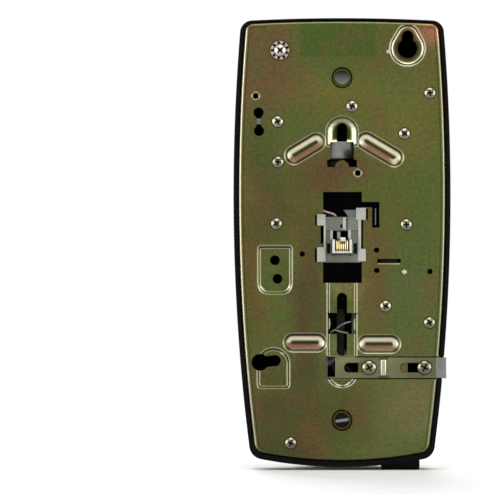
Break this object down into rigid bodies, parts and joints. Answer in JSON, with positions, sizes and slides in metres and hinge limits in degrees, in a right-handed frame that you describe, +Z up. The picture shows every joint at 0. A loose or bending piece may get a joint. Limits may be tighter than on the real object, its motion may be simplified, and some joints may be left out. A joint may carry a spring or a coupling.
{
  "type": "wall telephone",
  "caption": "Slim black wall telephone with a chromated steel baseplate, stud keyholes, floating line plug, slide lock and a keypad handset.",
  "frame": {"origin": "midway between the two wall stud seats, on the outer face of the baseplate", "axes": "+X across the telephone, to the left when its back is looked at; +Y out of the back towards the wall; +Z up"},
  "size_m": [0.1064, 0.0655, 0.2214],
  "materials": {
    "black_housing": "moulded, satin",
    "black_handset": "moulded, satin",
    "black_moulding": "moulded",
    "chromated_plate": "yellow-green chromate on zinc",
    "chromated_steel": "yellow chromate on zinc",
    "bright_steel": "zinc plated",
    "dark_steel": "oiled",
    "grey_plastic": "moulded",
    "clear_plastic": "moulded",
    "gold_contact": "gold plated",
    "lead_insulation": "extruded",
    "pale_plastic": "moulded",
    "circuit_board": "laminate",
    "board_parts": "moulded",
    "copper_coil": "enamelled wire",
    "gong_brass": "turned",
    "spring_brass": "rolled",
    "brown_insulator": "laminate",
    "card_white": "card",
    "clear_window": "clear",
    "key_plastic": "moulded"
  },
  "bodies": {
    "base": {"housing": "black_housing", "baseplate": "chromated_plate", "plate_screws": "chromated_steel", "earth_screw": "bright_steel", "housing_screws": "bright_steel", "stud_spring": "bright_steel", "lock_screws": "chromated_steel", "lever_pin": "chromated_steel", "lead_clamp": "pale_plastic", "network_board": "circuit_board", "network_parts": "board_parts", "board_spacers": "pale_plastic", "board_leads": "lead_insulation", "ringer_frame": "bright_steel", "ringer_coil": "copper_coil", "ringer_core": "bright_steel", "gong": "gong_brass", "gong_nut": "bright_steel", "clapper_pin": "bright_steel", "switch_frame": "bright_steel", "switch_stack": "brown_insulator", "switch_springs": "spring_brass", "cord_jack": "black_moulding", "cord_jack_contacts": "gold_contact", "cradle_tab": "black_moulding", "number_card": "card_white", "card_window": "clear_window"},
    "carrier": {"plug_carrier": "grey_plastic", "wall_plug": "clear_plastic", "plug_contacts": "gold_contact", "plug_leads": "lead_insulation"},
    "lock": {"lock_slide": "chromated_steel"},
    "lever": {"latch_lever": "dark_steel"},
    "ringer_arm": {"clapper": "dark_steel"},
    "plunger": {"hook_plunger": "black_moulding"},
    "handset": {"handset_shell": "black_handset", "handset_face": "black_handset", "receiver": "pale_plastic", "transmitter": "pale_plastic", "keypad_plate": "grey_plastic", "keypad_board": "circuit_board", "handset_jack": "black_moulding", "handset_jack_contacts": "gold_contact", "handset_screws": "bright_steel"},
    "button_1": {"key_1": "key_plastic"},
    "button_2": {"key_2": "key_plastic"},
    "button_3": {"key_3": "key_plastic"},
    "button_4": {"key_4": "key_plastic"},
    "button_5": {"key_5": "key_plastic"},
    "button_6": {"key_6": "key_plastic"},
    "button_7": {"key_7": "key_plastic"},
    "button_8": {"key_8": "key_plastic"},
    "button_9": {"key_9": "key_plastic"},
    "button_star": {"key_star": "key_plastic"},
    "button_0": {"key_0": "key_plastic"},
    "button_square": {"key_square": "key_plastic"}
  },
  "joints": [
    {"name": "plug_float", "type": "slide", "parent": "base", "child": "carrier", "axis": [0, 0, 1], "range_m": [-0.0096, 0.0084], "deforming": ["plug_leads"]},
    {"name": "lock_pull", "type": "slide", "parent": "base", "child": "lock", "axis": [-1, 0, 0], "range_m": [0, 0.005]},
    {"name": "lever_swing", "type": "hinge", "parent": "base", "child": "lever", "pos_m": [-0.009, -0.0049, -0.088], "axis": [0, 1, 0], "range_deg": [-17.05, 0.05]},
    {"name": "clapper_swing", "type": "hinge", "parent": "base", "child": "ringer_arm", "pos_m": [-0.01, -0.014, -0.051], "axis": [0, 1, 0], "range_deg": [-0.9, 3], "stiffness_Nm_per_rad": 0.03},
    {"name": "handset_lift", "type": "slide", "parent": "base", "child": "handset", "axis": [0, -0.8, 0.6], "range_m": [0, 0.12]},
    {"name": "hook_rise", "type": "slide", "parent": "base", "child": "plunger", "axis": [0, -1, 0], "range_m": [0, 0.0041]},
    {"name": "press_1", "type": "slide", "parent": "handset", "child": "button_1", "axis": [0, -1, 0], "range_m": [0, 0.0015], "stiffness_N_per_m": 400},
    {"name": "press_2", "type": "slide", "parent": "handset", "child": "button_2", "axis": [0, -1, 0], "range_m": [0, 0.0015], "stiffness_N_per_m": 400},
    {"name": "press_3", "type": "slide", "parent": "handset", "child": "button_3", "axis": [0, -1, 0], "range_m": [0, 0.0015], "stiffness_N_per_m": 400},
    {"name": "press_4", "type": "slide", "parent": "handset", "child": "button_4", "axis": [0, -1, 0], "range_m": [0, 0.0015], "stiffness_N_per_m": 400},
    {"name": "press_5", "type": "slide", "parent": "handset", "child": "button_5", "axis": [0, -1, 0], "range_m": [0, 0.0015], "stiffness_N_per_m": 400},
    {"name": "press_6", "type": "slide", "parent": "handset", "child": "button_6", "axis": [0, -1, 0], "range_m": [0, 0.0015], "stiffness_N_per_m": 400},
    {"name": "press_7", "type": "slide", "parent": "handset", "child": "button_7", "axis": [0, -1, 0], "range_m": [0, 0.0015], "stiffness_N_per_m": 400},
    {"name": "press_8", "type": "slide", "parent": "handset", "child": "button_8", "axis": [0, -1, 0], "range_m": [0, 0.0015], "stiffness_N_per_m": 400},
    {"name": "press_9", "type": "slide", "parent": "handset", "child": "button_9", "axis": [0, -1, 0], "range_m": [0, 0.0015], "stiffness_N_per_m": 400},
    {"name": "press_star", "type": "slide", "parent": "handset", "child": "button_star", "axis": [0, -1, 0], "range_m": [0, 0.0015], "stiffness_N_per_m": 400},
    {"name": "press_0", "type": "slide", "parent": "handset", "child": "button_0", "axis": [0, -1, 0], "range_m": [0, 0.0015], "stiffness_N_per_m": 400},
    {"name": "press_square", "type": "slide", "parent": "handset", "child": "button_square", "axis": [0, -1, 0], "range_m": [0, 0.0015], "stiffness_N_per_m": 400}
  ],
  "couplings": [
    {"joint": "lever_swing", "follows": "lock_pull", "rad_per_m": -59.341},
    {"joint": "hook_rise", "follows": "handset_lift", "ratio": 0.033333}
  ]
}
